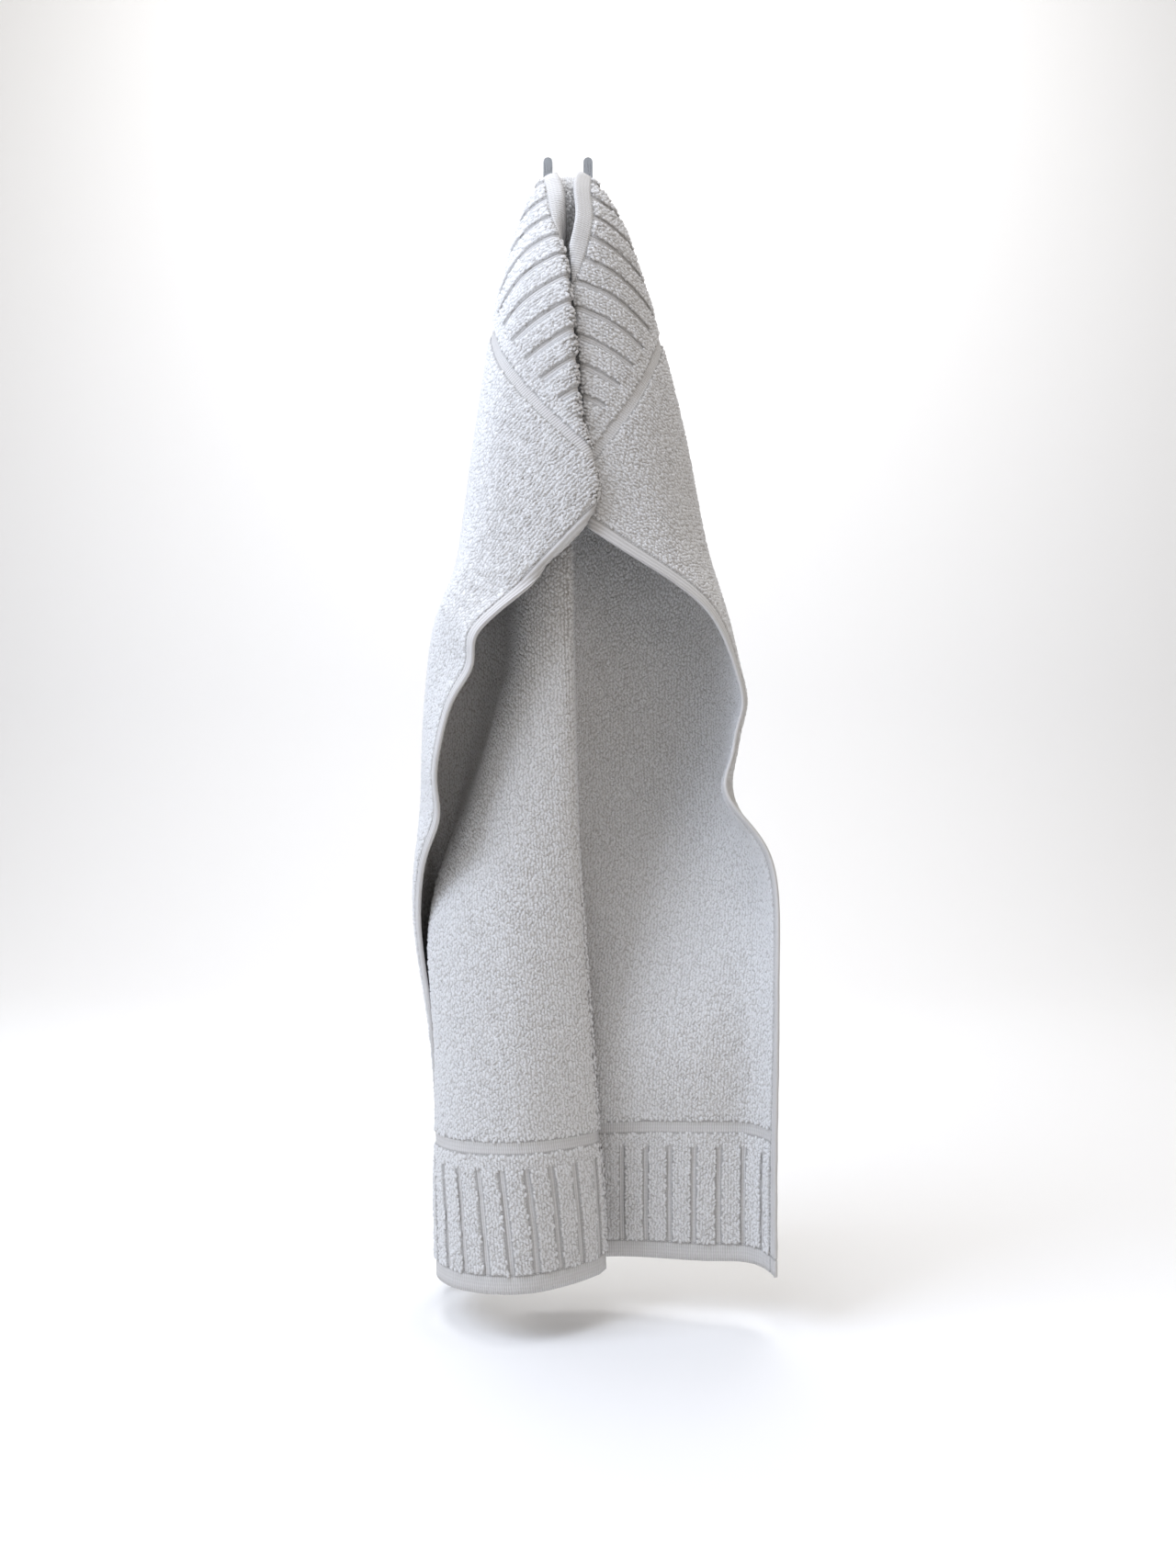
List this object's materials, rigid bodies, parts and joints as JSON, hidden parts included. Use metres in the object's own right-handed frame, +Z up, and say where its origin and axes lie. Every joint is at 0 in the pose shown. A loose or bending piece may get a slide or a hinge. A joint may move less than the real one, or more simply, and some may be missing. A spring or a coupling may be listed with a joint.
{
  "type": "terry towel on wall hook",
  "caption": "White terry hand towel with ribbed ends, hung from the middle of a short end on a steel wall hook, its sides falling forward as flaps",
  "frame": {"origin": "middle of the back face of the hook's wall plate, on the wall plane", "axes": "+Y into the wall, +Z up, +X to the right as seen from the room"},
  "size_m": [0.2604, 0.132, 0.8416],
  "materials": {
    "cotton_terry": "undyed bleached cotton, looped pile on both faces",
    "brushed_steel": "brushed stainless steel"
  },
  "bodies": {
    "root": {"towel": "cotton_terry", "wall_plate": "brushed_steel", "arm": "brushed_steel", "fork": "brushed_steel"}
  },
  "joints": []
}
